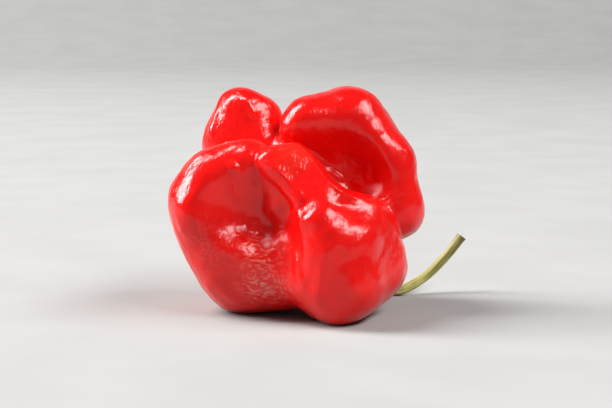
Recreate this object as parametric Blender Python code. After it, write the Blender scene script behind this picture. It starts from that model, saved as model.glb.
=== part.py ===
"""A ripe red habanero-type chili pepper, lying as it rests on a table.

The fruit is one swollen, four-lobed body with a blossom end that faces up and
forward and a stem end low at the back.  The stem, with its calyx collar, is a
second piece.  All driving dimensions are in millimetres; the meshes are in
metres, +Z up, and the middle of the pepper's underside is the origin.
"""

import math

import bmesh
import bpy
import numpy as np
from mathutils import Vector

MM = 0.001

# Fineness of the two meshes
SKIN_CELL = 1.5
SKIN_LOW = (-28.75, -24.75, -2.75)
SKIN_HIGH = (26.0, 24.0, 45.0)
SKIN_ROUNDS = 12
STEM_SIDES = 20
STEM_STEPS = 30

# The body that the lobes swell out of: middle, radii
CORE = ((0.0, 4.0, 19.0), (12.0, 11.0, 12.0))

# Every lobe is a list of pills. A pill has two ball ends (x, y, z, radius) and the
# softness of its seam: the first one's is the furrow round the whole lobe.
BACK_LEFT_LOBE = (
    ((-12.9, 8.8, 37.0, 4.1), (-12.2, 10.6, 30.0, 7.8), 2.5),
    ((-11.2, 7.2, 37.2, 3.4), (-8.0, 4.2, 28.0, 4.0), 3.0),
    ((-9.4, 8.6, 35.0, 4.8), (-8.5, 10.0, 22.0, 9.5), 3.0),
    ((-9.5, 10.5, 22.0, 8.5), (-1.5, 12.0, 13.5, 7.0), 5.0),
)
RIGHT_LOBE = (
    ((0.0, 0.9, 34.9, 4.9), (6.6, 3.6, 34.4, 6.9), 1.6),
    ((8.0, 3.4, 34.0, 7.6), (13.0, 1.1, 26.7, 7.5), 2.5),
    ((13.1, 1.5, 26.5, 7.2), (15.4, 0.8, 19.4, 6.9), 1.5),
    ((8.0, 7.0, 29.0, 9.5), (9.5, 9.5, 16.5, 8.2), 5.0),
)
LEFT_LOBE = (
    ((-14.2, -2.6, 19.9, 11.3), (-10.7, -1.5, 10.3, 10.5), 1.6),
    ((-15.2, -4.4, 25.6, 5.6), (-10.6, -4.8, 27.4, 5.2), 3.0),
    ((-12.5, 5.5, 16.5, 9.5), (-7.5, 6.5, 9.25, 9.4), 5.0),
    ((-9.2, -1.8, 10.0, 9.6), (-4.8, -4.6, 8.4, 7.6), 3.0),
)
FRONT_LOBE = (
    ((3.2, -14.9, 18.5, 3.9), (6.2, -13.8, 14.2, 6.2), 1.0),
    ((5.0, -12.2, 12.4, 7.2), (5.9, -11.8, 8.35, 8.75), 3.0),
    ((3.9, -16.0, 16.5, 3.6), (4.0, -15.8, 7.0, 4.2), 2.0),
    ((8.8, -5.5, 14.0, 8.4), (9.8, -4.0, 9.9, 9.0), 6.0),
    ((-2.0, -9.0, 11.8, 4.4), (0.6, -8.6, 8.6, 6.0), 5.0),
    ((4.0, -3.0, 9.8, 8.0), (4.5, 5.0, 11.0, 8.0), 5.0),
)

# The furrows are sharp in front. Over the back, and round the stem end, they fade
# into wide hollows.
FADE_DEPTH = 8.0
FADE_WIDTH = 2.0
FADE_AT_STEM = 7.0
FADE_SOFTNESS = 3.0

# The front lobe grows smoothly out of the left one low down between them
SADDLE = (-3.5, -9.0, 9.0)
SADDLE_SPREAD = 6.5
SADDLE_SOFTNESS = 6.0

# Where the four lobes meet, behind the tip of the tongue: middle, radii, softness
BLOSSOM = ((-1.5, 2.5, 27.5), (5.5, 5.0, 5.5), 3.0)

# Dishes pressed into the lobes: middle, radii, softness of the rim
DISHES = (
    ((7.4, -11.2, 26.6), (7.4, 11.8, 7.3), 9.0),
    ((-11.4, -22.0, 22.0), (10.8, 12.8, 9.2), 7.5),
    ((-6.4, -16.0, 18.8), (10.0, 7.2, 4.4), 7.0),
)

# The tongue that hangs over the front: two folded slabs, and the pills behind them
# that join them to the bowl on their left. Corners in order round each slab.
TONGUE_UPPER = ((-6.6, -10.0, 29.3), (-2.2, -9.4, 30.5), (5.0, -13.6, 22.9), (0.9, -15.7, 20.2))
TONGUE_LOWER = ((0.9, -15.7, 20.2), (5.0, -13.6, 22.9), (11.3, -10.2, 20.2), (4.2, -15.0, 14.0))
TONGUE_ROUNDING = 1.7
TONGUE_DEPTH = 1.5
TONGUE_BEND = 2.5
TONGUE_WEB = (
    ((-4.2, -6.0, 26.4, 4.3), (3.0, -8.0, 18.0, 5.0), 5.0),
    ((-1.2, -7.2, 26.4, 3.8), (5.5, -7.0, 17.5, 5.6), 3.0),
    ((-6.0, -6.6, 27.6, 3.0), (-3.6, -8.2, 21.6, 3.6), 4.0),
)

# Above this height the tongue lies on the lobes with a sharp edge, and below it
# the tongue runs smoothly into the front lobe
TONGUE_ROOT = 21.5
TONGUE_ROOT_WIDTH = 1.2
TONGUE_EDGE_SOFTNESS = 1.0
TONGUE_ROOT_SOFTNESS = 5.5

# Slow swellings that keep every face from being even: height, and waves per
# millimetre along x, y and z with a start
SWELLINGS = (
    (0.10, 0.085, 0.050, -0.035, 0.10),
    (0.09, -0.040, 0.075, 0.070, 0.35),
    (0.08, 0.060, -0.030, 0.100, 0.80),
    (0.08, 0.110, 0.020, 0.055, 0.55),
)

# Stem end: where the calyx sits, the way the stem leaves it, and the shoulders
# round it (x, y, z, radius)
STEM_END = (6.4, 13.4, 9.3)
STEM_AXIS = (0.50, 0.62, -0.60)
SHOULDER = (3.0, 8.0, 14.0, 8.0)
SHOULDER_SOFTNESS = 5.0
RECESS_RADIUS = 7.0
RECESS_DEPTH = 1.5
RECESS_SOFTNESS = 3.0

# How sharply the flat spots that the fruit rests on are bounded
REST_SOFTNESS = 0.4

# Calyx: it follows the skin at the seat gap. The rings over it hold a share of its
# radius and of its thickness.
SEAT_GAP = 0.34
CALYX_RADIUS = 4.6
CALYX_THICKNESS = 0.75
CALYX_POINTS = 5
CALYX_POINTEDNESS = 0.17
CALYX_UNDERSIDE = (0.22, 0.6, 0.94)
CALYX_TOP = ((1.0, 0.45), (0.92, 0.85), (0.72, 1.0), (0.52, 1.35))

# Stem: it leaves the calyx along the axis, then follows the path to the cut end
STEM_NECK = 2.1
STEM_PATH = (
    (9.6, 14.6, 4.6),
    (12.2, 14.6, 2.7),
    (15.2, 14.2, 1.38),
    (18.0, 14.2, 0.95),
    (20.0, 15.1, 1.45),
    (22.3, 16.4, 2.5),
    (24.5, 17.5, 3.95),
    (28.0, 18.8, 7.3),
    (30.9, 19.6, 10.9),
)
STEM_START = 0.1
STEM_RADIUS = 0.88
STEM_ROOT_RADIUS = 1.9
STEM_ROOT_SHARE = 0.07
STEM_TIP_FLARE = 0.16
STEM_TIP_SHARE = 0.03
STEM_RIBS = 0.05


def soft_min(a, b, k):
    h = np.maximum(k - np.abs(a - b), 0.0) / k
    return np.minimum(a, b) - h * h * h * k / 6.0


def soft_max(a, b, k):
    return -soft_min(-a, -b, k)


def pill(p, start, end):
    """Distance to the skin stretched over two balls of unlike size."""
    a = np.array(start[:3])
    b = np.array(end[:3])
    ra = start[3]
    rb = end[3]
    axis = b - a
    length2 = axis @ axis
    drop = ra - rb
    slant2 = length2 - drop * drop
    q = p - a
    along = q @ axis
    beyond = along - length2
    off2 = np.sum((q * length2 - along[..., None] * axis) ** 2, -1)
    along2 = along * along * length2
    beyond2 = beyond * beyond * length2
    limit = np.sign(drop) * drop * drop * off2
    side = (np.sqrt(off2 * slant2 / length2) + along * drop) / length2 - ra
    end_a = np.sqrt(off2 + along2) / length2 - ra
    end_b = np.sqrt(off2 + beyond2) / length2 - rb
    at_b = np.sign(beyond) * slant2 * beyond2 > limit
    at_a = np.sign(along) * slant2 * along2 < limit
    return np.where(at_b, end_b, np.where(at_a, end_a, side))


def egg(p, middle, radii):
    """Distance to an ellipsoid, near enough close to its skin."""
    q = p - np.array(middle)
    r = np.array(radii)
    k0 = np.linalg.norm(q / r, axis=-1)
    k1 = np.linalg.norm(q / (r * r), axis=-1)
    return k0 * (k0 - 1.0) / np.maximum(k1, 1e-6)


def slab(p, corners, depth):
    """Distance to a four-cornered sheet, folded along its first diagonal and
    drawn out straight back by a depth."""
    nearest = np.full(p.shape[:-1], np.inf)
    for order in ((0, 1, 2), (0, 2, 3)):
        a, b, c = (np.array(corners[i]) for i in order)
        flat = unit(np.cross(b - a, c - a))
        back = np.clip((p - a) @ flat / flat[1], 0.0, depth)
        q = p - back[..., None] * np.array((0.0, 1.0, 0.0))
        rim = np.full(p.shape[:-1], np.inf)
        over = np.ones(p.shape[:-1], bool)
        for start, end in ((a, b), (b, c), (c, a)):
            side = end - start
            along = np.clip((q - start) @ side / (side @ side), 0.0, 1.0)
            rim = np.minimum(rim, np.linalg.norm(q - start - along[..., None] * side, axis=-1))
            over &= (q - start) @ np.cross(flat, side) > 0.0
        nearest = np.minimum(nearest, np.where(over, np.abs((q - a) @ flat), rim))
    return nearest


def near(p, middle, spread):
    """1 at a point, falling smoothly to 0 round it."""
    return np.exp(-np.sum((p - np.array(middle)) ** 2, -1) / (2.0 * spread * spread))


def unit(v):
    v = np.array(v, float)
    return v / np.linalg.norm(v)


def grow(f, p, pills, wider=0.0):
    """Joins a lobe to a body, with more softness in its furrow where wider says."""
    start, end, furrow = pills[0]
    lobe = pill(p, start, end)
    for start, end, seam in pills[1:]:
        lobe = soft_min(lobe, pill(p, start, end), seam)
    return soft_min(f, lobe, furrow + wider)


def fruit_field(p):
    """Signed distance in millimetres from the skin, negative inside."""
    y = p[..., 1]
    z = p[..., 2]

    fade = 1.0 / (1.0 + np.exp((FADE_DEPTH - y) / FADE_WIDTH)) + near(p, STEM_END, FADE_AT_STEM)
    fade = fade * FADE_SOFTNESS
    f = grow(egg(p, *CORE), p, BACK_LEFT_LOBE)
    f = grow(f, p, RIGHT_LOBE, fade)
    f = grow(f, p, LEFT_LOBE, fade)

    middle, radii, softness = BLOSSOM
    f = soft_min(f, egg(p, middle, radii), softness)
    for middle, radii, softness in DISHES:
        f = soft_max(f, -egg(p, middle, radii), softness)
    f = grow(f, p, FRONT_LOBE, fade + SADDLE_SOFTNESS * near(p, SADDLE, SADDLE_SPREAD))

    tongue = soft_min(slab(p, TONGUE_UPPER, TONGUE_DEPTH), slab(p, TONGUE_LOWER, TONGUE_DEPTH),
                      TONGUE_BEND)
    tongue = grow(tongue - TONGUE_ROUNDING, p, TONGUE_WEB)
    root = 1.0 / (1.0 + np.exp((z - TONGUE_ROOT) / TONGUE_ROOT_WIDTH))
    f = soft_min(f, tongue, TONGUE_EDGE_SOFTNESS + TONGUE_ROOT_SOFTNESS * root)

    for height, wx, wy, wz, start in SWELLINGS:
        f = f + height * np.sin(2.0 * np.pi * (p @ np.array((wx, wy, wz)) + start))

    shoulder = np.linalg.norm(p - np.array(SHOULDER[:3]), axis=-1) - SHOULDER[3]
    f = soft_min(f, shoulder, SHOULDER_SOFTNESS)
    hollow = np.array(STEM_END) + unit(STEM_AXIS) * (RECESS_RADIUS - RECESS_DEPTH)
    f = soft_max(f, RECESS_RADIUS - np.linalg.norm(p - hollow, axis=-1), RECESS_SOFTNESS)
    return soft_max(f, -z, REST_SOFTNESS)


def slope(field, p, e=0.05):
    """Unit direction in which the field grows, and the length of its gradient."""
    g = np.empty_like(p)
    for i in range(3):
        step = np.zeros(3)
        step[i] = e
        g[..., i] = (field(p + step) - field(p - step)) / (2.0 * e)
    size = np.maximum(np.linalg.norm(g, axis=-1, keepdims=True), 1e-6)
    return g / size, size[..., 0]


def settle(field, p, level=0.0, rounds=3):
    """Moves points straight onto the surface where the field equals level."""
    for _ in range(rounds):
        n, size = slope(field, p)
        reach = np.clip((field(p) - level) / np.maximum(size, 0.4), -2.0, 2.0)
        p = p - n * reach[..., None]
    return p


def fill_corner_contacts(inside):
    """Fills lattice points until no two filled ones meet only at a corner, so
    that the skin never touches itself along an edge or at a point."""
    def part_of(shift, size):
        return tuple(slice(s, s + n) for s, n in zip(shift, size))

    steps = [np.eye(3, dtype=int)[i] for i in range(3)]
    for _ in range(20):
        before = inside.sum()
        for i in range(3):
            u = steps[i]
            v = steps[(i + 1) % 3]
            size = np.array(inside.shape) - u - v
            a, b, c, d = (inside[part_of(s, size)] for s in (0 * u, u, v, u + v))
            pinch = ((a & d) & ~(b | c)) | ((b & c) & ~(a | d))
            for corner in (a, b, c, d):
                corner |= pinch
        size = np.array(inside.shape) - 1
        corner = {s: inside[part_of(s, size)] for s in np.ndindex(2, 2, 2)}
        count = sum(c.astype(int) for c in corner.values())
        for s in corner:
            far = tuple(1 - i for i in s)
            both = corner[s] == corner[far]
            lone = both & (((count == 2) & corner[s]) | ((count == 6) & ~corner[s]))
            for c in corner.values():
                c |= lone
        if inside.sum() == before:
            return


def crossed_cells(field, low, high, cell):
    """Cells of a regular lattice that the surface passes through, and the
    four-sided faces that join the cells round every crossed lattice edge."""
    axes = [np.arange(a, b + cell, cell) for a, b in zip(low, high)]
    inside = field(np.stack(np.meshgrid(*axes, indexing="ij"), -1)) < 0.0
    fill_corner_contacts(inside)
    shape = np.array(inside.shape) - 1
    corners = np.zeros(shape, int)
    for i, j, k in np.ndindex(2, 2, 2):
        corners += inside[i:i + shape[0], j:j + shape[1], k:k + shape[2]]
    crossed = (corners > 0) & (corners < 8)
    number = np.cumsum(crossed).reshape(shape) - 1
    middles = np.array(low) + (np.argwhere(crossed) + 0.5) * cell

    faces = []
    for axis in range(3):
        b = np.eye(3, dtype=int)[(axis + 1) % 3]
        c = np.eye(3, dtype=int)[(axis + 2) % 3]
        change = np.diff(inside.astype(int), axis=axis)
        for sign in (1, -1):
            at = np.argwhere(change == sign)
            ring = [number[tuple((at - s).T)] for s in (0 * b, b, b + c, c)]
            faces.append(np.stack(ring if sign < 0 else ring[::-1], -1))
    return middles, np.concatenate(faces)


def face_edges(faces):
    pairs = np.concatenate([faces[:, [i, (i + 1) % 4]] for i in range(4)])
    return np.unique(np.sort(pairs, -1), axis=0)


def relax(field, p, edges, rounds):
    """Spreads the vertices evenly while they stay on the surface."""
    count = np.bincount(edges.ravel(), minlength=len(p)).astype(float)[:, None]
    for _ in range(rounds):
        total = np.zeros_like(p)
        np.add.at(total, edges[:, 0], p[edges[:, 1]])
        np.add.at(total, edges[:, 1], p[edges[:, 0]])
        drift = total / count - p
        n, _ = slope(field, p)
        drift -= n * np.sum(drift * n, -1, keepdims=True)
        p = settle(field, p + 0.5 * drift, rounds=1)
    return settle(field, p)


def skin_mesh(field, low, high, cell, rounds):
    """A closed mesh of even four-sided faces on the surface."""
    p, faces = crossed_cells(field, low, high, cell)
    p = relax(field, settle(field, p), face_edges(faces), rounds)
    p[p[:, 2] < 0.04, 2] = 0.0
    bm = bmesh.new()
    verts = [bm.verts.new(Vector(q * MM)) for q in p]
    for face in faces:
        bm.faces.new([verts[i] for i in face])
    bmesh.ops.recalc_face_normals(bm, faces=bm.faces[:])
    return bm


def path_point(points, t):
    """Point at 0..1 on a smooth curve through the given points."""
    last = len(points) - 1
    s = min(t * last, last - 1e-9)
    i = int(s)
    u = s - i
    a = points[max(i - 1, 0)]
    b = points[i]
    c = points[i + 1]
    d = points[min(i + 2, last)]
    return 0.5 * (2 * b + (c - a) * u + (2 * a - 5 * b + 4 * c - d) * u * u
                  + (3 * b - a - 3 * c + d) * u ** 3)


def calyx_ring(seat, spread, star, share, level):
    """A ring at a share of the calyx's radius, held off the skin by a level."""
    reach = CALYX_RADIUS * share * (1.0 + star * share)
    return settle(fruit_field, seat + spread * reach[:, None], level, 6)


def stem_rings():
    """Closed rings of points, from the underside of the calyx to the cut end."""
    axis = unit(STEM_AXIS)
    side = unit(np.cross(axis, (0.0, 0.0, 1.0)))
    over = np.cross(axis, side)
    seat = settle(fruit_field, np.array([STEM_END], float), SEAT_GAP, 8)[0]
    turn = np.arange(STEM_SIDES) * 2.0 * math.pi / STEM_SIDES
    spread = np.cos(turn)[:, None] * side + np.sin(turn)[:, None] * over
    star = CALYX_POINTEDNESS * np.cos(CALYX_POINTS * turn)

    rings = [calyx_ring(seat, spread, star, share, SEAT_GAP) for share in CALYX_UNDERSIDE]
    for share, lift in CALYX_TOP:
        rings.append(calyx_ring(seat, spread, star, share, SEAT_GAP + CALYX_THICKNESS * lift))

    knots = [seat, seat + axis * STEM_NECK] + [np.array(q) for q in STEM_PATH]
    ribs = 1.0 + STEM_RIBS * np.cos(CALYX_POINTS * turn)
    for i in range(1, STEM_STEPS + 1):
        t = STEM_START + (1.0 - STEM_START) * i / STEM_STEPS
        here = path_point(knots, t)
        ahead = unit(path_point(knots, min(t + 0.01, 1.0)) - path_point(knots, t - 0.01))
        side = unit(side - ahead * (side @ ahead))
        over = np.cross(ahead, side)
        root = math.exp((STEM_START - t) / STEM_ROOT_SHARE)
        tip = math.exp((t - 1.0) / STEM_TIP_SHARE)
        radius = STEM_RADIUS + (STEM_ROOT_RADIUS - STEM_RADIUS) * root + STEM_TIP_FLARE * tip
        round_it = np.cos(turn)[:, None] * side + np.sin(turn)[:, None] * over
        rings.append(here + round_it * (radius * ribs)[:, None])
    return seat, rings


def stem_mesh():
    seat, rings = stem_rings()
    bm = bmesh.new()
    loops = [[bm.verts.new(Vector(q * MM)) for q in ring] for ring in rings]
    foot = bm.verts.new(Vector(seat * MM))
    tip = bm.verts.new(Vector(rings[-1].mean(0) * MM))
    for j in range(STEM_SIDES):
        k = (j + 1) % STEM_SIDES
        bm.faces.new((foot, loops[0][k], loops[0][j]))
        for a, b in zip(loops[:-1], loops[1:]):
            bm.faces.new((a[j], a[k], b[k], b[j]))
        bm.faces.new((tip, loops[-1][j], loops[-1][k]))
    bmesh.ops.recalc_face_normals(bm, faces=bm.faces[:])
    return bm


def material(name, colour, roughness):
    mat = bpy.data.materials.new(name)
    mat.use_nodes = True
    mat.diffuse_color = (*colour, 1.0)
    shader = mat.node_tree.nodes["Principled BSDF"]
    shader.inputs["Base Color"].default_value = (*colour, 1.0)
    shader.inputs["Roughness"].default_value = roughness
    shader.inputs["Metallic"].default_value = 0.0
    return mat


def add_piece(name, bm, mat, parent):
    mesh = bpy.data.meshes.new(name)
    bm.to_mesh(mesh)
    bm.free()
    mesh.shade_smooth()
    mesh.materials.append(mat)
    piece = bpy.data.objects.new(name, mesh)
    bpy.context.collection.objects.link(piece)
    piece.parent = parent
    return piece


def underside_middle(pieces):
    corners = np.array([v.co[:] for piece in pieces for v in piece.data.vertices])
    low = corners.min(0)
    high = corners.max(0)
    return Vector(((low[0] + high[0]) / 2.0, (low[1] + high[1]) / 2.0, low[2]))


def main():
    for old in list(bpy.data.objects):
        bpy.data.objects.remove(old, do_unlink=True)

    pepper = bpy.data.objects.new("pepper", None)
    bpy.context.collection.objects.link(pepper)

    skin = material("ripe_red_skin", (0.72, 0.012, 0.008), 0.22)
    green = material("stem_green", (0.21, 0.23, 0.035), 0.6)

    fruit = add_piece("fruit", skin_mesh(fruit_field, SKIN_LOW, SKIN_HIGH, SKIN_CELL, SKIN_ROUNDS),
                      skin, pepper)
    stem = add_piece("stem", stem_mesh(), green, pepper)

    # The empty's place puts the middle of the pepper's underside at the origin
    pepper.location = -underside_middle([fruit, stem])


main()
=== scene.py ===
import math

import bpy
import numpy as np
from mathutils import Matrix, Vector


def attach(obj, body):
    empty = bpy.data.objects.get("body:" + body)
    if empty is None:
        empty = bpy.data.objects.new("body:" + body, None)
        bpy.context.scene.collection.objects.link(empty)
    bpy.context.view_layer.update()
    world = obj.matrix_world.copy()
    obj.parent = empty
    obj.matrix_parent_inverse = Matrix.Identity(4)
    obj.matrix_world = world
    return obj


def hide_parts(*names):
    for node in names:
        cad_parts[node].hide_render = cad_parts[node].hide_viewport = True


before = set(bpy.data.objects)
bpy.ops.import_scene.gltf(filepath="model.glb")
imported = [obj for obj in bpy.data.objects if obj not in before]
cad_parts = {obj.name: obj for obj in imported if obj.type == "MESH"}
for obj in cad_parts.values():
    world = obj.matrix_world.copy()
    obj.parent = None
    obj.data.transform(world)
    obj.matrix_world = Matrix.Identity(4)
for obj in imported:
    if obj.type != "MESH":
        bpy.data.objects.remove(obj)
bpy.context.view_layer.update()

MM = 0.001

# The shape is written in millimetres about the point under the fruit's middle. The
# part stands with the middle of its whole box, stem and all, over its own origin,
# and ORIGIN is where that is.
ORIGIN = (3.0861, 0.1394, 0.0)

# Skin mesh: size of a lattice cell, and the box that the lattice fills. A coarser
# lattice takes every fourth point, and points within so many of its cells of the
# surface are looked at again. Then the most rounds of filling corner contacts, and
# the rounds that spread the vertices evenly.
SKIN_CELL = 0.32
SKIN_LOW = (-26.5, -23.0, -1.2)
SKIN_HIGH = (24.5, 21.5, 43.2)
COARSE_STRIDE = 4
CLOSE_CELLS = 2.2
FILL_ROUNDS = 20
SKIN_ROUNDS = 5

# Stem mesh
STEM_SIDES = 60
STEM_STEPS = 150

# Steps towards a surface: how far a slope is felt for, the least slope that is
# trusted, and the longest steps when settling and when evening out
FEEL = 0.05
LEAST_SLOPE = 0.4
LONG_STEP = 2.0
SHORT_STEP = 1.0

# The body that the lobes swell out of: middle, radii
CORE = ((0.0, 4.0, 19.0), (12.0, 11.0, 12.0))

# Every lobe is a list of pills. A pill has two ball ends (x, y, z, radius) and the
# softness of its seam: the first one's is the furrow round the whole lobe.
BACK_LEFT_LOBE = (
    ((-12.9, 8.8, 37.0, 4.1), (-12.2, 10.6, 30.0, 7.8), 2.5),
    ((-11.2, 7.2, 37.2, 3.4), (-8.0, 4.2, 28.0, 4.0), 3.0),
    ((-9.4, 8.6, 35.0, 4.8), (-8.5, 10.0, 22.0, 9.5), 3.0),
    ((-9.5, 10.5, 22.0, 8.5), (-1.5, 12.0, 13.5, 7.0), 5.0),
)
RIGHT_LOBE = (
    ((0.0, 0.9, 34.9, 4.9), (6.6, 3.6, 34.4, 6.9), 1.6),
    ((8.0, 3.4, 34.0, 7.6), (13.0, 1.1, 26.7, 7.5), 2.5),
    ((13.1, 1.5, 26.5, 7.2), (15.4, 0.8, 19.4, 6.9), 1.5),
    ((8.0, 7.0, 29.0, 9.5), (9.5, 9.5, 16.5, 8.2), 5.0),
)
LEFT_LOBE = (
    ((-14.2, -2.6, 19.9, 11.3), (-10.7, -1.5, 10.3, 10.5), 1.6),
    ((-15.2, -4.4, 25.6, 5.6), (-10.6, -4.8, 27.4, 5.2), 3.0),
    ((-12.5, 5.5, 16.5, 9.5), (-7.5, 6.5, 9.25, 9.4), 5.0),
    ((-9.2, -1.8, 10.0, 9.6), (-4.8, -4.6, 8.4, 7.6), 3.0),
)
FRONT_LOBE = (
    ((3.2, -14.9, 18.5, 3.9), (6.2, -13.8, 14.2, 6.2), 1.0),
    ((5.0, -12.2, 12.4, 7.2), (5.9, -11.8, 8.35, 8.75), 3.0),
    ((3.9, -16.0, 16.5, 3.6), (4.0, -15.8, 7.0, 4.2), 2.0),
    ((8.8, -5.5, 14.0, 8.4), (9.8, -4.0, 9.9, 9.0), 6.0),
    ((-2.0, -9.0, 11.8, 4.4), (0.6, -8.6, 8.6, 6.0), 5.0),
    ((4.0, -3.0, 9.8, 8.0), (4.5, 5.0, 11.0, 8.0), 5.0),
)

# The furrows are sharp in front. Over the back, and round the stem end, they fade
# into wide hollows.
FADE_DEPTH = 8.0
FADE_WIDTH = 2.0
FADE_AT_STEM = 7.0
FADE_SOFTNESS = 3.0

# The front lobe grows smoothly out of the left one low down between them
SADDLE = (-3.5, -9.0, 9.0)
SADDLE_SPREAD = 6.5
SADDLE_SOFTNESS = 6.0

# Where the four lobes meet, behind the tip of the tongue: middle, radii, softness
BLOSSOM = ((-1.5, 2.5, 27.5), (5.5, 5.0, 5.5), 3.0)

# Dishes pressed into the lobes: middle, radii, softness of the rim
DISHES = (
    ((7.4, -11.2, 26.6), (7.4, 11.8, 7.3), 9.0),
    ((-11.4, -22.0, 22.0), (10.8, 12.8, 9.2), 7.5),
    ((-6.4, -16.0, 18.8), (10.0, 7.2, 4.4), 7.0),
)

# The tongue that hangs over the front: two folded slabs, and the pills behind them
# that join them to the bowl on their left. Corners in order round each slab.
TONGUE_UPPER = ((-6.6, -10.0, 29.3), (-2.2, -9.4, 30.5), (5.0, -13.6, 22.9), (0.9, -15.7, 20.2))
TONGUE_LOWER = ((0.9, -15.7, 20.2), (5.0, -13.6, 22.9), (11.3, -10.2, 20.2), (4.2, -15.0, 14.0))
TONGUE_ROUNDING = 1.7
TONGUE_DEPTH = 1.5
TONGUE_BEND = 2.5
TONGUE_WEB = (
    ((-4.2, -6.0, 26.4, 4.3), (3.0, -8.0, 18.0, 5.0), 5.0),
    ((-1.2, -7.2, 26.4, 3.8), (5.5, -7.0, 17.5, 5.6), 3.0),
    ((-6.0, -6.6, 27.6, 3.0), (-3.6, -8.2, 21.6, 3.6), 4.0),
)

# Above this height the tongue lies on the lobes with a sharp edge, and below it
# the tongue runs smoothly into the front lobe
TONGUE_ROOT = 21.5
TONGUE_ROOT_WIDTH = 1.2
TONGUE_EDGE_SOFTNESS = 1.0
TONGUE_ROOT_SOFTNESS = 5.5

# Slow swellings that keep every face from being even: height, and waves per
# millimetre along x, y and z with a start
SWELLINGS = (
    (0.10, 0.085, 0.050, -0.035, 0.10),
    (0.09, -0.040, 0.075, 0.070, 0.35),
    (0.08, 0.060, -0.030, 0.100, 0.80),
    (0.08, 0.110, 0.020, 0.055, 0.55),
)

# Stem end: where the calyx sits, the way the stem leaves it, and the shoulders
# round it (x, y, z, radius)
STEM_END = (6.4, 13.4, 9.3)
STEM_AXIS = (0.50, 0.62, -0.60)
SHOULDER = (3.0, 8.0, 14.0, 8.0)
SHOULDER_SOFTNESS = 5.0
RECESS_RADIUS = 7.0
RECESS_DEPTH = 1.5
RECESS_SOFTNESS = 3.0

# How sharply the flat spots that the fruit rests on are bounded
REST_SOFTNESS = 0.4

# Calyx: it follows the skin at the seat gap. The rings over it hold a share of its
# radius and of its thickness.
SEAT_GAP = 0.34
CALYX_RADIUS = 4.6
CALYX_THICKNESS = 0.75
CALYX_POINTS = 5
CALYX_POINTEDNESS = 0.17
CALYX_UNDERSIDE = (0.12, 0.3, 0.5, 0.7, 0.85, 0.95)
CALYX_TOP = (
    (0.99, 0.15), (1.0, 0.4), (0.985, 0.65), (0.95, 0.8), (0.88, 0.9),
    (0.8, 0.97), (0.72, 1.0), (0.64, 1.06), (0.57, 1.2), (0.51, 1.4),
)

# Stem: it leaves the calyx along the axis, then follows the path to the cut end
STEM_NECK = 2.1
STEM_PATH = (
    (9.6, 14.6, 4.6),
    (12.2, 14.6, 2.7),
    (15.2, 14.2, 1.38),
    (18.0, 14.2, 0.95),
    (20.0, 15.1, 1.45),
    (22.3, 16.4, 2.5),
    (24.5, 17.5, 3.95),
    (28.0, 18.8, 7.3),
    (30.9, 19.6, 10.9),
)
STEM_START = 0.1
STEM_RADIUS = 0.88
STEM_ROOT_RADIUS = 1.9
STEM_ROOT_SHARE = 0.07
STEM_TIP_FLARE = 0.16
STEM_TIP_SHARE = 0.03
STEM_RIBS = 0.05

# Unevenness of the stem: fibres (height, number round it, turn along it), lumps
# (height, pace along it, start) and the roughness of its cut end (height, number
# round it, start)
STEM_FIBRES = ((0.022, 13, 7.0), (0.014, 22, -11.0))
STEM_LUMPS = ((0.02, 31.0, 0.0), (0.012, 67.0, 1.0))
CUT_ROUGHNESS = ((0.04, 3, 1.0), (0.03, 7, 0.0))

# Thin raised lines on the skin: height, half width, and the points they pass
RIDGES = (
    # The lip along the right edge of the tongue, and the line round its top
    (0.30, 0.32, ((-0.5, -10.6, 31.2), (0.9, -11.7, 29.5), (2.3, -12.9, 27.5), (3.9, -14.0, 25.8),
                  (6.0, -14.8, 24.3), (8.2, -13.4, 23.0), (10.4, -12.3, 22.3))),
    (0.12, 0.30, ((-7.9, -10.8, 30.6), (-5.6, -10.0, 31.7), (-2.9, -9.4, 32.2), (-1.1, -10.3, 31.7))),
    # The crest along the left edge of the tongue
    (0.40, 0.60, ((-7.5, -11.8, 29.8), (-6.1, -12.7, 28.5), (-4.3, -13.4, 27.0), (-2.7, -14.3, 25.5),
                  (-1.2, -15.3, 24.0), (0.0, -16.7, 22.4))),
    # The curved line in the bowl of the left lobe
    (0.30, 0.32, ((-13.5, -9.8, 26.0), (-13.7, -9.6, 24.4), (-13.6, -9.3, 23.0), (-12.5, -8.8, 21.9),
                  (-10.9, -8.3, 20.7))),
    # Folds at the bottom of the right lobe's hollow
    (0.40, 0.55, ((3.7, 0.2, 26.7), (5.4, 0.4, 25.4), (7.1, 0.4, 24.3))),
    (0.40, 0.60, ((8.2, 0.3, 24.5), (9.5, -0.2, 24.2), (10.8, -1.2, 23.3))),
    (0.40, 0.70, ((11.5, -1.3, 28.2), (11.7, -1.1, 26.1), (10.9, -1.1, 23.9))),
)

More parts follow.
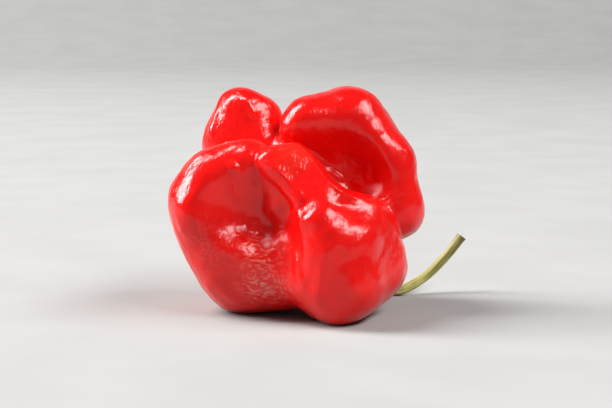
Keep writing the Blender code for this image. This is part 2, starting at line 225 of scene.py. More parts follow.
# Broad soft ribs, in the same form
RIBS = (
    # Down the front lobe and its left flank
    (0.30, 1.1, ((4.2, -20.1, 17.0), (3.5, -20.3, 13.7), (2.8, -20.2, 10.1), (2.6, -19.9, 6.5),
                 (2.8, -18.4, 3.1))),
    (0.22, 1.2, ((6.8, -20.1, 12.4), (8.1, -20.2, 9.2), (8.5, -19.7, 5.6))),
    (0.22, 1.2, ((9.1, -19.4, 13.0), (11.3, -18.6, 9.8), (13.4, -15.9, 6.6))),
    (0.25, 1.0, ((-2.5, -14.4, 14.5), (-1.6, -16.2, 11.7), (-0.7, -17.9, 8.8), (0.4, -18.5, 6.0))),
    # Down the back left lobe
    (0.55, 0.75, ((-11.8, 4.8, 40.0), (-10.9, 3.7, 38.6), (-9.9, 3.1, 36.9), (-9.3, 2.8, 35.5))),
    (0.20, 0.8, ((-7.5, 4.5, 37.6), (-6.9, 4.1, 36.3), (-6.6, 3.6, 34.8))),
    (0.25, 0.9, ((-16.5, 6.9, 38.0), (-17.4, 6.4, 35.2), (-18.1, 5.5, 31.8))),
    # Along the rim of the left lobe, and a swelling at the top of its bowl
    (0.28, 0.8, ((-22.7, -7.8, 24.9), (-21.4, -7.6, 27.2), (-19.6, -7.2, 29.4), (-17.1, -6.0, 30.9))),
    (0.45, 1.3, ((-14.1, -9.8, 27.1), (-13.0, -9.6, 27.8), (-12.1, -9.6, 28.4))),
    (0.25, 0.7, ((-10.1, -9.4, 25.2), (-9.0, -9.1, 23.9), (-8.0, -9.3, 22.7))),
    # At the right end of the bowl's bottom
    (0.35, 1.0, ((-10.6, -8.8, 17.6), (-9.4, -8.4, 17.2), (-8.2, -8.4, 16.8))),
    # Shallow furrows at the corners of the tongue's lower end
    (-0.40, 1.3, ((-1.2, -16.3, 22.6), (-0.4, -17.3, 21.4), (0.6, -18.2, 20.0))),
    (-0.40, 1.1, ((5.9, -14.6, 25.1), (5.0, -15.9, 23.3), (4.7, -17.6, 21.3))),
)

# Wrinkled patches: middle, spread, height, wave length, the point that the waves run
# round, and the strength of the painted highlight, pale streaks on their crests that stand in for the
# light they catch
WRINKLES = (
    ((-8.4, -12.0, 12.2), (3.0, 4.0, 3.0), 0.085, 1.15, (-10.5, -12.0, 2.0), 1.6),
    ((-7.6, -11.7, 6.4), (3.8, 5.0, 3.0), 0.085, 1.05, (-9.7, -11.0, 9.4), 2.2),
    ((-17.7, -11.3, 13.5), (4.0, 4.0, 4.6), 0.025, 1.25, (-30.0, -11.0, 20.0), 0.3),
    ((14.2, -4.6, 21.3), (3.4, 3.0, 1.7), 0.11, 1.30, (2.0, -2.0, 29.0), 0.3),
)

# How the waves of the wrinkles wander: share of a wave, and turns per millimetre
WOBBLES = ((0.35, (1.9, 0.7, 0.8)), (0.3, (-0.9, 0.4, 2.3)))

# Small unevenness all over: seed, number of waves, their lengths and their height
RIPPLE_SEED = 7
RIPPLES = 28
RIPPLE_LENGTHS = (2.2, 6.0)
RIPPLE_HEIGHT = 0.011

# Raised lines taper off over this share of their length at each end. All the small
# forms fade out this near the floor, and what is lower than the last value lies flat.
LINE_TAPER = 0.25
RESTING_FADE = 1.5
RESTING_FLAT = 0.02

# Skin colours: the ripe red from its darkest to its lightest, a patch of painted light at
# the top of the tongue (lighter and more orange where the light falls strongest), the flesh
# round the stem end, and the painted highlight of pale streaks on the crests of the wrinkles
RIPE_RED = ((0.3, (0.70, 0.003, 0.0025)), (0.7, (0.80, 0.006, 0.004)))
# Painted light at the top of the tongue: middle and reach in millimetres, then its lighter, more orange
# colour
PAINTED_TONGUE_LIGHT = ((-2.4, -11.0, 29.6), 5.0)
PAINTED_TONGUE_LIGHT_COLOUR = (0.85, 0.03, 0.01)
STEM_END_REACH = 9.0
STEM_END_COLOUR = (0.62, 0.02, 0.004)
PAINTED_STREAK_HIGHLIGHT = (0.80, 0.24, 0.20)

# Fineness of the skin's noises, in waves per metre, and the height of its bump in metres
SKIN_CLOUDS = 110.0
SKIN_FIBRES = (1900.0, 1900.0, 500.0)
SKIN_GRAIN = 1000.0
SKIN_STREAKS = (750.0, 750.0, 1900.0)
SKIN_BUMP = 0.00014

# Colours from the calyx to the cut end, each with its share of the way
STEM_COLOURS = (
    (0.0, (0.11, 0.16, 0.02)),
    (0.12, (0.15, 0.19, 0.03)),
    (0.5, (0.34, 0.33, 0.08)),
    (0.68, (0.42, 0.38, 0.10)),
    (0.80, (0.30, 0.27, 0.055)),
    (0.93, (0.20, 0.165, 0.022)),
    (1.0, (0.16, 0.12, 0.03)),
)
PALE_STRAND = (0.60, 0.57, 0.24)
DARK_STRAND = (0.10, 0.10, 0.012)
CUT_COLOURS = ((0.3, (0.38, 0.30, 0.13)), (0.7, (0.62, 0.53, 0.28)))

# The cut end of the stem: rings at a share of its rim, sunk by so much
CUT_END = ((0.93, -0.05), (0.8, -0.02), (0.6, 0.03), (0.42, 0.1), (0.3, 0.22), (0.12, 0.26))

# The floor, and the bend into the backdrop behind, in metres
FLOOR_REACH = 6.0
BEND_START = 0.9
BEND_RADIUS = 0.8
BEND_STEPS = 24
FLOOR_COLOURS = ((0.3, (0.355, 0.352, 0.345)), (0.7, (0.375, 0.372, 0.365)))

# Softboxes: azimuth, elevation, degrees wide and high as the pepper sees them, radiance.
# LIGHT_POWER is the power of an area light of one square metre with radiance 1.
LIGHT_DISTANCE = 1.6
LIGHT_AIM = (-0.004, 0.0, 0.022)
LIGHT_POWER = 4.0
SOFTBOXES = (
    ("left_box", -100.0, 40.0, 20.0, 56.0, 16.0),
    ("right_strip", 63.0, 47.0, 52.0, 15.0, 11.0),
)
WORLD_LIGHT = 0.17
WORLD_COLOUR = (0.97, 0.98, 1.0, 1.0)

# Camera: the photograph's angle, distance and aim, in millimetres from the same point
VIEW_ELEVATION = 7.5
VIEW_DISTANCE = 317.0
VIEW_AIM = (0.0, 0.0, 20.0)
VIEW_LENS = 100.0
VIEW_SENSOR = 36.0
VIEW_CLIP = (0.01, 100.0)


def soft_min(a, b, k):
    """The smaller of two fields, rounded over where they are nearly equal."""
    h = np.maximum(k - np.abs(a - b), 0.0) / k
    return np.minimum(a, b) - h * h * h * k / 6.0


def soft_max(a, b, k):
    """The larger of two fields, rounded in the same way."""
    return -soft_min(-a, -b, k)


def pill(p, start, end):
    """Distance to the skin stretched over two balls of unlike size."""
    a = np.array(start[:3])
    b = np.array(end[:3])
    ra = start[3]
    rb = end[3]
    axis = b - a
    length2 = axis @ axis
    drop = ra - rb
    slant2 = length2 - drop * drop
    q = p - a
    along = q @ axis
    beyond = along - length2
    off2 = np.sum((q * length2 - along[..., None] * axis) ** 2, -1)
    along2 = along * along * length2
    beyond2 = beyond * beyond * length2
    limit = np.sign(drop) * drop * drop * off2
    side = (np.sqrt(off2 * slant2 / length2) + along * drop) / length2 - ra
    end_a = np.sqrt(off2 + along2) / length2 - ra
    end_b = np.sqrt(off2 + beyond2) / length2 - rb
    at_b = np.sign(beyond) * slant2 * beyond2 > limit
    at_a = np.sign(along) * slant2 * along2 < limit
    return np.where(at_b, end_b, np.where(at_a, end_a, side))


def egg(p, middle, radii):
    """Distance to an ellipsoid, near enough close to its skin."""
    q = p - np.array(middle)
    r = np.array(radii)
    k0 = np.linalg.norm(q / r, axis=-1)
    k1 = np.linalg.norm(q / (r * r), axis=-1)
    return k0 * (k0 - 1.0) / np.maximum(k1, 1e-6)


def slab(p, corners, depth):
    """Distance to a four-cornered sheet, folded along its first diagonal and
    drawn out straight back by a depth."""
    nearest = np.full(p.shape[:-1], np.inf)
    for order in ((0, 1, 2), (0, 2, 3)):
        a, b, c = (np.array(corners[i]) for i in order)
        flat = unit(np.cross(b - a, c - a))
        back = np.clip((p - a) @ flat / flat[1], 0.0, depth)
        q = p - back[..., None] * np.array((0.0, 1.0, 0.0))
        rim = np.full(p.shape[:-1], np.inf)
        over = np.ones(p.shape[:-1], bool)
        for start, end in ((a, b), (b, c), (c, a)):
            side = end - start
            along = np.clip((q - start) @ side / (side @ side), 0.0, 1.0)
            rim = np.minimum(rim, np.linalg.norm(q - start - along[..., None] * side, axis=-1))
            over &= (q - start) @ np.cross(flat, side) > 0.0
        nearest = np.minimum(nearest, np.where(over, np.abs((q - a) @ flat), rim))
    return nearest


def near(p, middle, spread):
    """1 at a point, falling smoothly to 0 round it."""
    return np.exp(-np.sum((p - np.array(middle)) ** 2, -1) / (2.0 * spread * spread))


def unit(v):
    """The same direction with length 1."""
    v = np.array(v, float)
    return v / np.linalg.norm(v)


def grow(f, p, pills, wider=0.0):
    """Joins a lobe to a body, with more softness in its furrow where wider says."""
    start, end, furrow = pills[0]
    lobe = pill(p, start, end)
    for start, end, seam in pills[1:]:
        lobe = soft_min(lobe, pill(p, start, end), seam)
    return soft_min(f, lobe, furrow + wider)


def fruit_field(p):
    """Signed distance in millimetres from the skin, negative inside."""
    y = p[..., 1]
    z = p[..., 2]

    fade = 1.0 / (1.0 + np.exp((FADE_DEPTH - y) / FADE_WIDTH)) + near(p, STEM_END, FADE_AT_STEM)
    fade = fade * FADE_SOFTNESS
    f = grow(egg(p, *CORE), p, BACK_LEFT_LOBE)
    f = grow(f, p, RIGHT_LOBE, fade)
    f = grow(f, p, LEFT_LOBE, fade)

    middle, radii, softness = BLOSSOM
    f = soft_min(f, egg(p, middle, radii), softness)
    for middle, radii, softness in DISHES:
        f = soft_max(f, -egg(p, middle, radii), softness)
    f = grow(f, p, FRONT_LOBE, fade + SADDLE_SOFTNESS * near(p, SADDLE, SADDLE_SPREAD))

    tongue = soft_min(slab(p, TONGUE_UPPER, TONGUE_DEPTH), slab(p, TONGUE_LOWER, TONGUE_DEPTH),
                      TONGUE_BEND)
    tongue = grow(tongue - TONGUE_ROUNDING, p, TONGUE_WEB)
    root = 1.0 / (1.0 + np.exp((z - TONGUE_ROOT) / TONGUE_ROOT_WIDTH))
    f = soft_min(f, tongue, TONGUE_EDGE_SOFTNESS + TONGUE_ROOT_SOFTNESS * root)

    for height, wx, wy, wz, start in SWELLINGS:
        f = f + height * np.sin(2.0 * np.pi * (p @ np.array((wx, wy, wz)) + start))

    shoulder = np.linalg.norm(p - np.array(SHOULDER[:3]), axis=-1) - SHOULDER[3]
    f = soft_min(f, shoulder, SHOULDER_SOFTNESS)
    hollow = np.array(STEM_END) + unit(STEM_AXIS) * (RECESS_RADIUS - RECESS_DEPTH)
    f = soft_max(f, RECESS_RADIUS - np.linalg.norm(p - hollow, axis=-1), RECESS_SOFTNESS)
    return soft_max(f, -z, REST_SOFTNESS)


def slope(field, p):
    """Unit direction in which the field grows, and the length of its gradient."""
    g = np.empty_like(p)
    for i in range(3):
        step = np.zeros(3)
        step[i] = FEEL
        g[..., i] = (field(p + step) - field(p - step)) / (2.0 * FEEL)
    size = np.maximum(np.linalg.norm(g, axis=-1, keepdims=True), 1e-6)
    return g / size, size[..., 0]


def way_out(field, p, level, longest):
    """Direction straight out of the surface where the field equals level, and how
    far along it each point lies, as far as one step may go."""
    n, size = slope(field, p)
    reach = np.clip((field(p) - level) / np.maximum(size, LEAST_SLOPE), -longest, longest)
    return n, reach[..., None]


def settle(field, p, level=0.0, rounds=3):
    """Moves points straight onto the surface where the field equals level."""
    for _ in range(rounds):
        n, reach = way_out(field, p, level, LONG_STEP)
        p = p - n * reach
    return p


def fill_corner_contacts(inside):
    """Fills lattice points until no two filled ones meet only at a corner, so
    that the skin never touches itself along an edge or at a point."""
    def part_of(shift, size):
        return tuple(slice(s, s + n) for s, n in zip(shift, size))

    steps = [np.eye(3, dtype=int)[i] for i in range(3)]
    for _ in range(FILL_ROUNDS):
        before = inside.sum()
        for i in range(3):
            u = steps[i]
            v = steps[(i + 1) % 3]
            size = np.array(inside.shape) - u - v
            a, b, c, d = (inside[part_of(s, size)] for s in (0 * u, u, v, u + v))
            pinch = ((a & d) & ~(b | c)) | ((b & c) & ~(a | d))
            for corner in (a, b, c, d):
                corner |= pinch
        size = np.array(inside.shape) - 1
        corner = {s: inside[part_of(s, size)] for s in np.ndindex(2, 2, 2)}
        count = sum(c.astype(int) for c in corner.values())
        for s in corner:
            far = tuple(1 - i for i in s)
            both = corner[s] == corner[far]
            lone = both & (((count == 2) & corner[s]) | ((count == 6) & ~corner[s]))
            for c in corner.values():
                c |= lone
        if inside.sum() == before:
            return


def lattice_inside(field, axes, cell):
    """Which lattice points lie inside. Points far from the surface take the
    answer of a coarser lattice."""
    shape = tuple(len(a) for a in axes)
    coarse = field(np.stack(np.meshgrid(*[a[::COARSE_STRIDE] for a in axes], indexing="ij"), -1))
    for i in range(3):
        coarse = coarse.repeat(COARSE_STRIDE, axis=i)
    coarse = coarse[:shape[0], :shape[1], :shape[2]]
    inside = coarse < 0.0
    close = np.argwhere(np.abs(coarse) < COARSE_STRIDE * cell * CLOSE_CELLS)
    points = np.stack([axes[i][close[:, i]] for i in range(3)], -1)
    inside[tuple(close.T)] = field(points) < 0.0
    return inside


def crossed_cells(field, low, high, cell):
    """Cells of a regular lattice that the surface passes through, and the
    four-sided faces that join the cells round every crossed lattice edge."""
    axes = [np.arange(a, b + cell, cell) for a, b in zip(low, high)]
    inside = lattice_inside(field, axes, cell)
    fill_corner_contacts(inside)
    shape = np.array(inside.shape) - 1
    corners = np.zeros(shape, int)
    for i, j, k in np.ndindex(2, 2, 2):
        corners += inside[i:i + shape[0], j:j + shape[1], k:k + shape[2]]
    crossed = (corners > 0) & (corners < 8)
    number = np.cumsum(crossed).reshape(shape) - 1
    middles = np.array(low) + (np.argwhere(crossed) + 0.5) * cell

    faces = []
    for axis in range(3):
        b = np.eye(3, dtype=int)[(axis + 1) % 3]
        c = np.eye(3, dtype=int)[(axis + 2) % 3]
        change = np.diff(inside.astype(int), axis=axis)
        for sign in (1, -1):
            at = np.argwhere(change == sign)
            ring = [number[tuple((at - s).T)] for s in (0 * b, b, b + c, c)]
            faces.append(np.stack(ring if sign < 0 else ring[::-1], -1))
    return middles, np.concatenate(faces)


def face_edges(faces):
    """Every edge of four-sided faces once, as pairs of vertices."""
    pairs = np.concatenate([faces[:, [i, (i + 1) % 4]] for i in range(4)])
    return np.unique(np.sort(pairs, -1), axis=0)


def neighbour_mean(values, edges):
    """Mean of each vertex's neighbours."""
    count = np.bincount(edges.ravel(), minlength=len(values)).astype(float)
    total = np.zeros_like(values)
    for i in range(values.shape[1]):
        total[:, i] = (np.bincount(edges[:, 0], values[edges[:, 1], i], len(values))
                       + np.bincount(edges[:, 1], values[edges[:, 0], i], len(values)))
    return total / count[:, None]


def relax(field, p, edges, rounds):
    """Spreads the vertices evenly while they stay on the surface."""
    for _ in range(rounds):
        drift = neighbour_mean(p, edges) - p
        n, reach = way_out(field, p, 0.0, SHORT_STEP)
        drift -= n * np.sum(drift * n, -1, keepdims=True)
        p = p + 0.5 * drift - n * reach
    return settle(field, p, rounds=2)


def line_profile(p, line, width):
    """1 on a line that lies on the skin, falling to 0 to its sides and ends."""
    line = settle(fruit_field, np.array(line, float), rounds=4)
    nearest = np.full(len(p), np.inf)
    share = np.zeros(len(p))
    last = len(line) - 1
    for i in range(last):
        way = line[i + 1] - line[i]
        along = np.clip((p - line[i]) @ way / (way @ way), 0.0, 1.0)
        distance = np.linalg.norm(p - line[i] - along[:, None] * way, axis=-1)
        closer = distance < nearest
        share = np.where(closer, (i + along) / last, share)
        nearest = np.minimum(nearest, distance)
    ends = np.clip(share / LINE_TAPER, 0.0, 1.0) * np.clip((1.0 - share) / LINE_TAPER, 0.0, 1.0)
    return np.exp(-(nearest / width) ** 2) * ends


def relief(p):
    """Height in millimetres of the small forms that stand on the skin, and the
    strength of the painted highlight that makes the crests of the wrinkles pale."""
    height = np.zeros(len(p))
    pale = np.zeros(len(p))
    for rise, width, line in RIDGES + RIBS:
        height += rise * line_profile(p, line, width)

    chance = np.random.default_rng(RIPPLE_SEED)
    for _ in range(RIPPLES):
        way = unit(chance.normal(size=3))
        length = chance.uniform(*RIPPLE_LENGTHS)
        height += RIPPLE_HEIGHT * np.sin(2.0 * np.pi * (p @ way / length + chance.uniform()))

    for middle, spread, rise, length, turn, painted_sheen in WRINKLES:
        inside = np.exp(-np.sum(((p - np.array(middle)) / np.array(spread)) ** 2, -1))
        wobble = sum(size * np.sin(p @ np.array(pace)) for size, pace in WOBBLES)
        reach = np.linalg.norm(p - np.array(turn), axis=-1) / length
        wave = np.sin(2.0 * np.pi * (reach + wobble))
        height += rise * inside * wave
        # Painted highlight: the crests of the wrinkles are marked pale
        pale += painted_sheen * inside * np.clip(0.5 + 0.7 * wave, 0.0, 1.0)
    return height, pale


def build_mesh(name, points, faces):
    """A smooth piece at the part's place, from points in millimetres."""
    mesh = bpy.data.meshes.new(name)
    mesh.from_pydata(((points - np.array(ORIGIN)) * MM).tolist(), [], faces)
    mesh.update()
    mesh.shade_smooth()
    piece = bpy.data.objects.new(name, mesh)
    bpy.context.collection.objects.link(piece)
    return piece


def fruit_piece():
    """The skin of the whole fruit, with its small forms."""
    p, faces = crossed_cells(fruit_field, SKIN_LOW, SKIN_HIGH, SKIN_CELL)
    edges = face_edges(faces)
    p = relax(fruit_field, settle(fruit_field, p, rounds=2), edges, SKIN_ROUNDS)
    n, _ = slope(fruit_field, p)
    resting = np.clip(p[:, 2] / RESTING_FADE, 0.0, 1.0)
    height, pale = relief(p)
    p = p + n * (height * resting)[:, None]
    p[p[:, 2] < RESTING_FLAT, 2] = 0.0
    piece = build_mesh("fruit_skin", p, faces.tolist())
    # Strength of the painted highlight on the wrinkle crests, for the skin shader
    painted_sheen = piece.data.attributes.new("painted_sheen", "FLOAT", "POINT")
    painted_sheen.data.foreach_set("value", pale)
    return piece


def path_point(points, t):
    """Point at 0..1 on a smooth curve through the given points."""
    last = len(points) - 1
    s = min(t * last, last - 1e-9)
    i = int(s)
    u = s - i
    a = points[max(i - 1, 0)]
    b = points[i]
    c = points[i + 1]
    d = points[min(i + 2, last)]
    return 0.5 * (2 * b + (c - a) * u + (2 * a - 5 * b + 4 * c - d) * u * u
                  + (3 * b - a - 3 * c + d) * u ** 3)


def calyx_ring(seat, spread, star, share, level):
    """A ring at a share of the calyx's radius, held off the skin by a level."""
    reach = CALYX_RADIUS * share * (1.0 + star * share)
    return settle(fruit_field, seat + spread * reach[:, None], level, 6)


def stem_rings():
    """Closed rings of points, from the underside of the calyx to the middle of
    the cut end, and how many of them come before the cut face."""
    axis = unit(STEM_AXIS)
    side = unit(np.cross(axis, (0.0, 0.0, 1.0)))
    over = np.cross(axis, side)
    seat = settle(fruit_field, np.array([STEM_END], float), SEAT_GAP, 8)[0]
    turn = np.arange(STEM_SIDES) * 2.0 * math.pi / STEM_SIDES
    spread = np.cos(turn)[:, None] * side + np.sin(turn)[:, None] * over
    star = CALYX_POINTEDNESS * np.cos(CALYX_POINTS * turn)

    rings = [calyx_ring(seat, spread, star, share, SEAT_GAP) for share in CALYX_UNDERSIDE]
    for share, lift in CALYX_TOP:
        rings.append(calyx_ring(seat, spread, star, share, SEAT_GAP + CALYX_THICKNESS * lift))

    knots = [seat, seat + axis * STEM_NECK] + [np.array(q) for q in STEM_PATH]
    ribs = 1.0 + STEM_RIBS * np.cos(CALYX_POINTS * turn)
    for i in range(1, STEM_STEPS + 1):
        t = STEM_START + (1.0 - STEM_START) * i / STEM_STEPS
        here = path_point(knots, t)
        ahead = unit(path_point(knots, min(t + 0.01, 1.0)) - path_point(knots, t - 0.01))
        side = unit(side - ahead * (side @ ahead))
        over = np.cross(ahead, side)
        root = math.exp((STEM_START - t) / STEM_ROOT_SHARE)
        tip = math.exp((t - 1.0) / STEM_TIP_SHARE)
        radius = STEM_RADIUS + (STEM_ROOT_RADIUS - STEM_RADIUS) * root + STEM_TIP_FLARE * tip
        fibres = sum(h * np.cos(count * turn + pace * t) for h, count, pace in STEM_FIBRES)
        lumps = sum(h * math.sin(pace * t + start) for h, pace, start in STEM_LUMPS)
        round_it = np.cos(turn)[:, None] * side + np.sin(turn)[:, None] * over
        rings.append(here + round_it * (radius * (ribs + fibres + lumps))[:, None])

    sides = len(rings)
    rim = rings[-1]
    middle = rim.mean(0)
    rough = sum(h * np.cos(count * turn + start) for h, count, start in CUT_ROUGHNESS)
    for share, sink in CUT_END:
        rings.append(middle + (rim - middle) * share - ahead * (sink + rough[:, None] * (1.0 - share)))
    return rings, sides


def stem_piece():
    """Calyx and stem as one closed mesh, with a second material on the cut end."""
    rings, sides = stem_rings()
    n = STEM_SIDES
    points = np.concatenate(rings + [rings[0].mean(0)[None], rings[-1].mean(0)[None]])
    foot = len(points) - 2
    tip = len(points) - 1
    last = (len(rings) - 1) * n
    faces = []
    for i in range(len(rings) - 1):
        for j in range(n):
            k = (j + 1) % n
            faces.append((i * n + j, i * n + k, (i + 1) * n + k, (i + 1) * n + j))
    for j in range(n):
        k = (j + 1) % n
        faces.append((foot, k, j))
        faces.append((tip, last + j, last + k))
    piece = build_mesh("stem_fine", points, faces)

    # Round and along the stem, for the streaks of its colour
    turn = np.arange(n) * 2.0 * math.pi / n
    share = np.arange(len(rings)) / sides
    way = np.zeros((len(points), 3))
    way[:-2, 0] = np.tile(np.cos(turn), len(rings))
    way[:-2, 1] = np.tile(np.sin(turn), len(rings))
    way[:-2, 2] = np.repeat(share, n)
    way[tip, 2] = 1.0
    lengthwise = piece.data.attributes.new("lengthwise", "FLOAT_VECTOR", "POINT")
    lengthwise.data.foreach_set("vector", way.ravel())

    piece.data.materials.append(stem_material())
    piece.data.materials.append(cut_material())
    for face in piece.data.polygons:
        if min(face.vertices) >= (sides - 1) * n and foot not in face.vertices:
            face.material_index = 1
    return piece


class Nodes:
    """Short hand for adding and joining shader nodes."""

    def __init__(self, name):
        self.material = bpy.data.materials.new(name)
        self.material.use_nodes = True
        self.tree = self.material.node_tree
        self.shader = self.tree.nodes["Principled BSDF"]
        self.place = self.add("ShaderNodeTexCoord").outputs["Object"]

    def add(self, kind, inputs=None, **settings):
        node = self.tree.nodes.new(kind)
        for key, value in settings.items():
            setattr(node, key, value)
        for key, value in (inputs or {}).items():
            if isinstance(value, bpy.types.NodeSocket):
                self.tree.links.new(value, node.inputs[key])
            else:
                node.inputs[key].default_value = value
        return node

    def stretched(self, scale, place=None):
        """A place, on the object if no other is given, scaled apart along x, y and z."""
        inputs = {"Vector": place or self.place, "Scale": scale}
        return self.add("ShaderNodeMapping", inputs).outputs["Vector"]

    def noise(self, scale, detail=2.0, place=None):
        """Cloudy noise of a scale per metre."""
        inputs = {"Vector": place or self.place, "Scale": scale, "Detail": detail}
        return self.add("ShaderNodeTexNoise", inputs).outputs["Fac"]

    def spot(self, middle, reach):
        """1 at a point of the object, given in millimetres, falling to 0 at a reach."""
        centre = (Vector(middle) - Vector(ORIGIN)) * MM
        gap = self.add("ShaderNodeVectorMath", {0: self.place, 1: centre}, operation="DISTANCE")
        fall = {"Value": gap.outputs["Value"], "From Min": 0.0, "From Max": reach * MM,
                "To Min": 1.0, "To Max": 0.0}
        return self.add("ShaderNodeMapRange", fall, interpolation_type="SMOOTHSTEP").outputs["Result"]

    def span(self, value, low, high, start=0.0, end=1.0):
        """Maps low..high to start..end, and holds it there beyond them."""
        inputs = {"Value": value, "From Min": low, "From Max": high, "To Min": start, "To Max": end}
        return self.add("ShaderNodeMapRange", inputs).outputs["Result"]

    def times(self, a, b):
        return self.add("ShaderNodeMath", {0: a, 1: b}, operation="MULTIPLY").outputs["Value"]

    def plus(self, a, b):
        return self.add("ShaderNodeMath", {0: a, 1: b}, operation="ADD").outputs["Value"]

    def ramp(self, factor, stops):
        """A soft run of colours, each at its place in 0..1."""
        node = self.add("ShaderNodeValToRGB", {"Fac": factor})
        ramp = node.color_ramp
        ramp.interpolation = "EASE"
        while len(ramp.elements) < len(stops):
            ramp.elements.new(0.5)
        for element, (at, colour) in zip(ramp.elements, stops):
            element.position = at
            element.color = (*colour, 1.0)
        return node.outputs["Color"]

    def tint(self, factor, below, above):
        """Mixes a second colour over the first by a factor."""
        node = self.add("ShaderNodeMixRGB", {"Fac": factor, "Color1": below, "Color2": (*above, 1.0)})
        return node.outputs["Color"]

    def to_shader(self, **inputs):
        """Sets or joins the shader's inputs, named with _ for a space."""
        for key, value in inputs.items():
            socket = self.shader.inputs[key.replace("_", " ")]
            if isinstance(value, bpy.types.NodeSocket):
                self.tree.links.new(value, socket)
            else:
                socket.default_value = value


def skin_material():
    """Glossy ripe skin, with fine fibres that break up its highlights."""
    m = Nodes("pepper_skin")
    colour = m.ramp(m.noise(SKIN_CLOUDS), RIPE_RED)
    # Painted light: a lighter, more orange patch at the top of the tongue, where the light falls
    # strongest
    colour = m.tint(m.times(m.spot(*PAINTED_TONGUE_LIGHT), 0.5), colour, PAINTED_TONGUE_LIGHT_COLOUR)
    colour = m.tint(m.times(m.spot(STEM_END, STEM_END_REACH), 0.6), colour, STEM_END_COLOUR)

    fibres = m.noise(1.0, 3.0, m.stretched(SKIN_FIBRES))
    grain = m.noise(SKIN_GRAIN, 3.0)
    uneven = m.plus(m.times(fibres, 0.5), m.times(grain, 0.5))

    # Painted highlight: fine pale streaks on the crests of the wrinkled patches, standing in for the
    # light they catch
    streaks = m.noise(1.0, 3.0, m.stretched(SKIN_STREAKS))
    painted_sheen_mask = m.add("ShaderNodeAttribute", attribute_name="painted_sheen").outputs["Fac"]
    painted_sheen_mask = m.times(painted_sheen_mask, m.span(streaks, 0.4, 0.6))
    # The pale streak colour is a painted highlight, mixed in over the wrinkle crests
    colour = m.tint(m.times(painted_sheen_mask, 0.5), colour, PAINTED_STREAK_HIGHLIGHT)

    rough = m.plus(m.span(uneven, 0.35, 0.65, 0.12, 0.25), m.times(painted_sheen_mask, 0.15))
    bump = m.add("ShaderNodeBump", {"Height": uneven, "Strength": 1.0, "Distance": SKIN_BUMP})
    m.to_shader(Base_Color=colour, Roughness=rough, Normal=bump.outputs["Normal"],
                Specular_IOR_Level=0.45, IOR=1.45, Subsurface_Weight=0.2,
                Subsurface_Radius=(0.004, 0.001, 0.0006), Subsurface_Scale=1.0)
    return m.material


def stem_material():
    """Green to olive, with pale and dark strands that run along the stem."""
    m = Nodes("stem_skin")
    place = m.add("ShaderNodeAttribute", attribute_name="lengthwise").outputs["Vector"]
    along = m.add("ShaderNodeSeparateXYZ", {"Vector": place}).outputs["Z"]
    colour = m.ramp(along, STEM_COLOURS)
    streaks = m.noise(1.0, 4.0, m.stretched((3.2, 3.2, 9.0), place))
    colour = m.tint(m.span(streaks, 0.52, 0.68, 0.0, 0.55), colour, PALE_STRAND)
    colour = m.tint(m.span(streaks, 0.48, 0.34, 0.0, 0.6), colour, DARK_STRAND)
    grain = m.noise(2600.0, 4.0)
    height = m.plus(m.times(streaks, 0.7), m.times(grain, 0.3))
    bump = m.add("ShaderNodeBump", {"Height": height, "Strength": 0.5, "Distance": 0.00015})
    rough = m.span(grain, 0.3, 0.7, 0.42, 0.62)
    m.to_shader(Base_Color=colour, Roughness=rough, Normal=bump.outputs["Normal"],
                Subsurface_Weight=0.08, Subsurface_Radius=(0.001, 0.0012, 0.0004), Subsurface_Scale=1.0)
    return m.material


def cut_material():
    """Pale dry flesh of the cut end."""
    m = Nodes("stem_cut")
    grain = m.noise(2200.0, 3.0)
    colour = m.ramp(grain, CUT_COLOURS)
    bump = m.add("ShaderNodeBump", {"Height": grain, "Strength": 0.6, "Distance": 0.00015})
    m.to_shader(Base_Color=colour, Roughness=0.8, Normal=bump.outputs["Normal"])
    return m.material


def floor_material():
    """Matt pale paper."""
    m = Nodes("pale_floor")
    colour = m.ramp(m.noise(35.0, 3.0), FLOOR_COLOURS)
    m.to_shader(Base_Color=colour, Roughness=0.95, Specular_IOR_Level=0.1)
    return m.material


def add_floor():
    """A floor that curves up into a backdrop far behind the pepper."""
    turn = np.linspace(0.0, math.pi / 2.0, BEND_STEPS)
    profile = [(-FLOOR_REACH, 0.0)]
    profile += [(BEND_START + BEND_RADIUS * math.sin(a), BEND_RADIUS * (1.0 - math.cos(a))) for a in turn]
    profile.append((BEND_START + BEND_RADIUS, FLOOR_REACH))
    points = [(x, y, z) for y, z in profile for x in (-FLOOR_REACH, FLOOR_REACH)]
    faces = [(2 * i, 2 * i + 1, 2 * i + 3, 2 * i + 2) for i in range(len(profile) - 1)]
    mesh = bpy.data.meshes.new("floor")
    mesh.from_pydata(points, [], faces)
    mesh.shade_smooth()
    mesh.materials.append(floor_material())
    floor = bpy.data.objects.new("floor", mesh)
    bpy.context.collection.objects.link(floor)


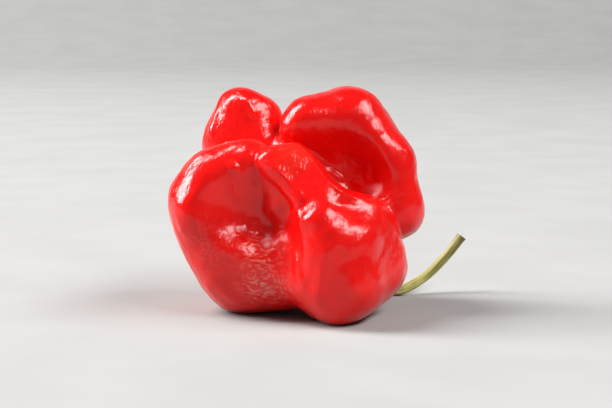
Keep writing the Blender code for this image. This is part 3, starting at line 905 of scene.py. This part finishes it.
def direction(azimuth, elevation):
    """Unit vector. Azimuth 0 is the camera's side, and grows to its right."""
    a = math.radians(azimuth)
    e = math.radians(elevation)
    return Vector((math.sin(a) * math.cos(e), -math.cos(a) * math.cos(e), math.sin(e)))


def add_softbox(name, azimuth, elevation, wide, high, radiance):
    """A soft light that fills wide by high degrees as seen from the pepper."""
    light = bpy.data.lights.new(name, "AREA")
    light.shape = "RECTANGLE"
    light.size = 2.0 * LIGHT_DISTANCE * math.tan(math.radians(wide) / 2.0)
    light.size_y = 2.0 * LIGHT_DISTANCE * math.tan(math.radians(high) / 2.0)
    light.energy = LIGHT_POWER * light.size * light.size_y * radiance
    lamp = bpy.data.objects.new(name, light)
    way = direction(azimuth, elevation)
    lamp.location = Vector(LIGHT_AIM) + LIGHT_DISTANCE * way
    lamp.rotation_euler = (-way).to_track_quat("-Z", "Y").to_euler()
    bpy.context.collection.objects.link(lamp)


def add_world():
    """An even, nearly white light from all round."""
    world = bpy.data.worlds.new("studio")
    world.use_nodes = True
    back = world.node_tree.nodes["Background"]
    back.inputs["Color"].default_value = WORLD_COLOUR
    back.inputs["Strength"].default_value = WORLD_LIGHT
    bpy.context.scene.world = world


def add_camera():
    """The photograph's camera, which looks along +Y and slightly down."""
    view = bpy.data.cameras.new("camera")
    view.lens = VIEW_LENS
    view.sensor_width = VIEW_SENSOR
    view.clip_start, view.clip_end = VIEW_CLIP
    camera = bpy.data.objects.new("camera", view)
    target = (Vector(VIEW_AIM) - Vector(ORIGIN)) * MM
    camera.location = target + direction(0.0, VIEW_ELEVATION) * VIEW_DISTANCE * MM
    camera.rotation_euler = (math.pi / 2.0 - math.radians(VIEW_ELEVATION), 0.0, 0.0)
    bpy.context.collection.objects.link(camera)
    bpy.context.scene.camera = camera


def main():
    """Sets the stage and puts both pieces on the part."""
    add_camera()
    add_floor()
    add_world()
    for box in SOFTBOXES:
        add_softbox(*box)

    fruit = fruit_piece()
    fruit.data.materials.append(skin_material())
    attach(fruit, "root")
    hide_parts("fruit")

    stem = stem_piece()
    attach(stem, "root")
    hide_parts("stem")

    bpy.context.scene.view_settings.view_transform = "Standard"


main()
